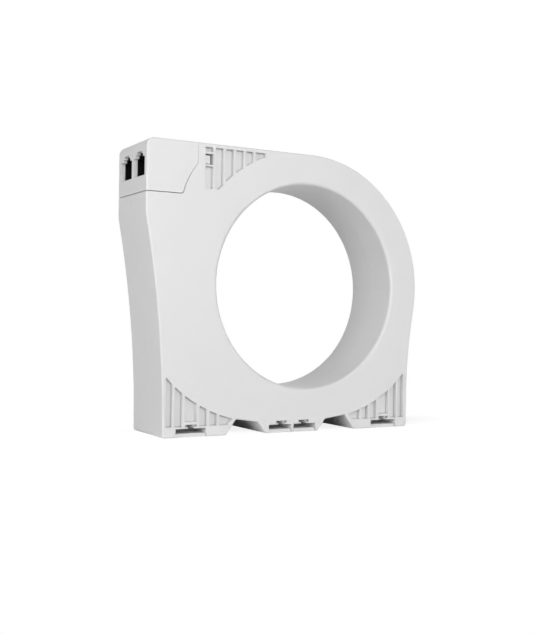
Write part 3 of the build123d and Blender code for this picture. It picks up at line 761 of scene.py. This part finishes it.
class TurnScrews(bpy.types.Operator):
    """Makes the screws with their threads and cross recesses"""
    bl_idname = "transformer.turn_screws"
    bl_label = "Turn the screws"

    def execute(self, context):
        look = context.scene.transformer.screw
        zinc = zinc_plate(look)
        for name, made_name, along in (("housing_screws", "housing_screw_set", TO_FRONT),
                                       ("board_screws", "board_screw_set", DOWN)):
            screws = [self.screw(corners, along, X_AXIS, look.pitch) for corners in islands(name)]
            made = piece(made_name, *joined(shape for shape, _ in screws), zinc, slot="screw_steel",
                         replaces=[name])
            self.cut(made, [recess for _, cross in screws for recess in cross])
        return {"FINISHED"}

    @staticmethod
    def screw(corners, along, across, pitch_share):
        """One screw in the place and size of its CAD solid, as the shape of its head, thread and point
        and the corners of the two bars of its cross."""
        side = along.cross(across)
        top = min(v.dot(along) for v in corners)
        middle = Vector((0, 0, 0))
        for axis in (across, side):
            spread = [v.dot(axis) for v in corners]
            middle += axis * (min(spread) + max(spread)) / 2
        start = middle + along * top
        place = [((v - start).dot(along), math.hypot((v - start).dot(across), (v - start).dot(side)))
                 for v in corners]
        head_r = max(r for _, r in place)
        rim_r, under_head = 0.98 * head_r, 0.05 * MM
        head_h = max(d for d, r in place if r > rim_r)
        length = max(d for d, _ in place)
        shank_r = max(r for d, r in place if d > head_h + under_head)
        core_r, pitch = THREAD_CORE * shank_r, pitch_share * shank_r
        middle_r, round_r = 0.02 * head_r, head_h / 3
        profile = [(0.0, middle_r), (0.0, head_r - round_r)]
        for degrees in (22.5, 45, 67.5, 90):
            turn = math.radians(degrees)
            profile.append((round_r - round_r * math.cos(turn),
                            head_r - round_r + round_r * math.sin(turn)))
        profile += [(head_h, head_r), (head_h, core_r)]
        thread_end = length - shank_r
        rows = int((thread_end - head_h) / pitch * ROWS_PER_PITCH)
        for k in range(1, rows + 1):
            distance = head_h + (thread_end - head_h) * k / rows
            fade = min(1.0, (distance - head_h) / pitch, (length - distance) / shank_r)

            def radius(turn, distance=distance, fade=fade):
                phase = (distance / pitch - turn / (2 * math.pi)) % 1.0
                ridge = max(0.0, 1 - abs(phase - 0.5) * RIDGE_SLOPE)
                return core_r + (shank_r - core_r) * ridge * fade
            profile.append((distance, radius))
        profile += [(length - back * shank_r, share * shank_r) for back, share in POINT]
        arm, width, depth = CROSS_ARM * head_r, CROSS_WIDTH * head_r, CROSS_DEPTH * head_h
        cross = []
        for first, second in ((across, side), (side, across)):
            cross.append([start + along * away + first * a * arm * shrink + second * b * width
                          for away, shrink in ((-depth, 1.0), (depth, CROSS_TAPER))
                          for a, b in ((-1, -1), (1, -1), (1, 1), (-1, 1))])
        return lathe(profile, start, along, across, SCREW_STEPS), cross

    @staticmethod
    def cut(made, recesses):
        """Cuts the cross recesses out of the heads."""
        for corners in recesses:
            mesh = bpy.data.meshes.new("recess")
            mesh.from_pydata([tuple(p) for p in corners], [], BOX_FACES)
            cutter = bpy.data.objects.new("recess", mesh)
            bpy.context.scene.collection.objects.link(cutter)
            fix = bmesh.new()
            fix.from_mesh(mesh)
            bmesh.ops.recalc_face_normals(fix, faces=fix.faces)
            fix.to_mesh(mesh)
            fix.free()
            modifier = made.modifiers.new("recess", "BOOLEAN")
            modifier.object, modifier.operation, modifier.solver = cutter, "DIFFERENCE", "EXACT"
            bpy.context.view_layer.update()
            graph = bpy.context.evaluated_depsgraph_get()
            cut_mesh = bpy.data.meshes.new_from_object(made.evaluated_get(graph))
            made.modifiers.clear()
            made.data = cut_mesh
            bpy.data.objects.remove(cutter)


# Housing and sockets


class MouldHousing(bpy.types.Operator):
    """Finishes the two halves of the housing and the cap over the sockets"""
    bl_idname = "transformer.mould_housing"
    bl_label = "Mould the housing"

    def execute(self, context):
        abs_finish = moulded_abs(context.scene.transformer.housing)
        for name in ("front_shell", "rear_shell", "connector_cover"):
            dress(name, abs_finish)
        return {"FINISHED"}


class FitSockets(bpy.types.Operator):
    """Finishes the two modular sockets and their sprung wires"""
    bl_idname = "transformer.fit_sockets"
    bl_label = "Fit the sockets"

    def execute(self, context):
        look = context.scene.transformer.socket
        nylon, gold = moulded_nylon(look), gold_plate(look)
        for side in ("front", "rear"):
            dress(f"{side}_socket", nylon)
            dress(f"{side}_socket_contacts", gold)
        return {"FINISHED"}


# Studio


class SetStudio(bpy.types.Operator):
    """Sets the camera, the white floor and the lamps"""
    bl_idname = "transformer.set_studio"
    bl_label = "Set the studio"

    def execute(self, context):
        look = context.scene.transformer.studio
        context.scene.view_settings.view_transform = "Standard"
        self.set_camera(context.scene, look)
        self.lay_floor(look)
        self.light_room(context.scene, look)
        self.hang_lamps(look)
        return {"FINISHED"}

    @staticmethod
    def set_camera(scene, look):
        """Camera in the place, turn and focal length that were fitted to the photograph."""
        lens = bpy.data.cameras.new("studio_camera")
        lens.sensor_width = SENSOR_MM
        lens.lens = look.focal_px * lens.sensor_width / LONG_SIDE_PX
        lens.clip_start, lens.clip_end = 0.01, 20.0
        camera = bpy.data.objects.new("studio_camera", lens)
        scene.collection.objects.link(camera)
        camera.matrix_world = (Matrix.Translation(look.camera_place)
                               @ Matrix.Rotation(-look.camera_turn, 4, "Z")
                               @ Matrix.Rotation(math.pi / 2 + look.camera_tilt, 4, "X")
                               @ Matrix.Rotation(-look.camera_lean, 4, "Z"))
        scene.camera = camera

    @staticmethod
    def rays(tree):
        """1 for rays from the camera, and 1 for those that a gloss or a clear body sends on."""
        path = add(tree, "ShaderNodeLightPath")
        sent_on = add(tree, "ShaderNodeMath", {
            0: path.outputs["Is Glossy Ray"], 1: path.outputs["Is Transmission Ray"]},
            operation="MAXIMUM")
        return path.outputs["Is Camera Ray"], sent_on

    def lay_floor(self, look):
        """White paper floor with a painted shadow under the object and just behind it, where it also
        keeps part of the object's real shadow. Further out it is pure white, and from below it is clear."""
        # Where the painted shadow lies: an ellipse round the object, moved towards its back.
        squeeze, shift = (0.35, 1.0, 0.0), (-4 * MM, -12 * MM, 0.0)
        painted_shadow_reach, painted_shadow_end, painted_shadow_tone = 14 * MM, 30 * MM, 0.05
        made, tree, place = new_material("paper_white_matt")
        squeezed = add(tree, "ShaderNodeVectorMath", {
            0: place, 1: squeeze, 2: shift}, operation="MULTIPLY_ADD")
        distance = add(tree, "ShaderNodeVectorMath", {0: squeezed}, operation="LENGTH")
        clear = add(tree, "ShaderNodeMapRange", {
            "Value": distance, "From Min": painted_shadow_reach, "From Max": painted_shadow_end},
            interpolation_type="SMOOTHSTEP")
        # Painted shadow: the paper's colour falls to the dark tone under the object and just behind it,
        # for the eye, for reflections and for the light it bounces.
        tone = add(tree, "ShaderNodeMix", {
            "Factor": clear, "A": rgba(look.floor_colour, painted_shadow_tone), "B": rgba(look.floor_colour)},
            data_type="RGBA")
        paper = add(tree, "ShaderNodeBsdfDiffuse", {"Color": tone})
        white = add(tree, "ShaderNodeEmission", {"Color": (1, 1, 1, 1), "Strength": 1.0})
        fade = add(tree, "ShaderNodeMapRange", {
            "Value": clear, "To Min": 1 - look.floor_shadow, "To Max": 1.0})
        seen, sent_on = self.rays(tree)
        shine = add(tree, "ShaderNodeMath", {0: sent_on, 1: clear}, operation="MULTIPLY")
        share = add(tree, "ShaderNodeMix", {"Factor": seen, "A": shine, "B": fade}, data_type="FLOAT")
        mixed = add(tree, "ShaderNodeMixShader", {0: share, 1: paper, 2: white})
        side = add(tree, "ShaderNodeNewGeometry").outputs["Backfacing"]
        clear_below = add(tree, "ShaderNodeMixShader", {
            0: side, 1: mixed, 2: add(tree, "ShaderNodeBsdfTransparent")})
        add(tree, "ShaderNodeOutputMaterial", {"Surface": clear_below})

        below_feet, half = 0.02 * MM, 6.0
        low = cad_box[0].z - below_feet
        corners = [(-half, -half, low), (half, -half, low), (half, half, low), (-half, half, low)]
        mesh = bpy.data.meshes.new("floor")
        mesh.from_pydata(corners, [], [(0, 1, 2, 3)])
        mesh.materials.append(made)
        floor = bpy.data.objects.new("floor", mesh)
        bpy.context.scene.collection.objects.link(floor)

    def light_room(self, scene, look):
        """Soft light from all round, and a surround that is pure white to the eye and to reflections."""
        world = bpy.data.worlds.new("studio_room")
        world.use_nodes = True
        tree = world.node_tree
        tree.nodes.clear()
        room = add(tree, "ShaderNodeBackground", {"Color": (1, 1, 1, 1), "Strength": look.ambient})
        white = add(tree, "ShaderNodeBackground", {"Color": (1, 1, 1, 1), "Strength": 1.0})
        seen, sent_on = self.rays(tree)
        plain = add(tree, "ShaderNodeMath", {0: seen, 1: sent_on}, operation="MAXIMUM")
        mixed = add(tree, "ShaderNodeMixShader", {0: plain, 1: room, 2: white})
        add(tree, "ShaderNodeOutputWorld", {"Surface": mixed})
        scene.world = world

    @staticmethod
    def hang_lamps(look):
        """Square lamps with their places, widths and powers, all turned to the window's middle."""
        for name, place, width, watts in (
                ("front_softbox", (0.0, -1.0, 0.1), 0.6, look.front),
                ("key_softbox", (-0.4, -0.9, 0.2), 0.5, look.key),
                ("high_softbox", (0.0, -0.6, 0.9), 0.6, look.high),
                ("side_softbox", (-0.8, -0.5, 0.0), 0.6, look.side),
                ("near_panel", (-0.3, -0.45, 0.25), 0.25, look.near),
                ("corner_panel", (-0.14, -0.3, 0.1), 0.1, look.corner),
                ("low_panel", (-0.3, -0.08, -0.02), 0.06, look.low),
                ("floor_panel", (0.15, -0.2, -0.05), 0.06, look.floor_panel),
                ("back_softbox", (0.8, 0.7, 0.05), 0.6, look.back),
                ("rear_softbox", (0.5, 1.9, 0.0), 0.6, look.rear)):
            lamp = bpy.data.lights.new(name, "AREA")
            lamp.shape, lamp.size, lamp.energy = "SQUARE", width, watts
            made = bpy.data.objects.new(name, lamp)
            made.location = place
            made.rotation_euler = (-Vector(place)).to_track_quat("-Z", "Y").to_euler()
            made.visible_camera = False
            bpy.context.scene.collection.objects.link(made)


STEPS = (MouldHousing, FitSockets, PopulateBoard, InsulateLeads, WindCoil, PadCoil, TurnScrews, SetStudio)


class TransformerPanel(bpy.types.Panel):
    """Sidebar panel of the transformer"""
    bl_idname = "VIEW3D_PT_transformer"
    bl_label = "Current transformer"
    bl_space_type = "VIEW_3D"
    bl_region_type = "UI"
    bl_category = "Transformer"

    def draw(self, context):
        look = context.scene.transformer
        for group in (look.housing, look.socket, look.board, look.coil, look.lead, look.screw,
                      look.studio):
            box = self.layout.box()
            for key in group.__annotations__:
                box.prop(group, key)
        for step in STEPS:
            self.layout.operator(step.bl_idname)


CLASSES = (HousingLook, SocketLook, BoardLook, CoilLook, LeadLook, ScrewLook, StudioLook, TransformerLook,
           *STEPS, TransformerPanel)


def register():
    for made in CLASSES:
        bpy.utils.register_class(made)
    bpy.types.Scene.transformer = PointerProperty(type=TransformerLook)


def unregister():
    del bpy.types.Scene.transformer
    for made in reversed(CLASSES):
        bpy.utils.unregister_class(made)


def main():
    register()
    for step in STEPS:
        group, call = step.bl_idname.split(".")
        getattr(getattr(bpy.ops, group), call)()


if __name__ == "__main__":
    main()
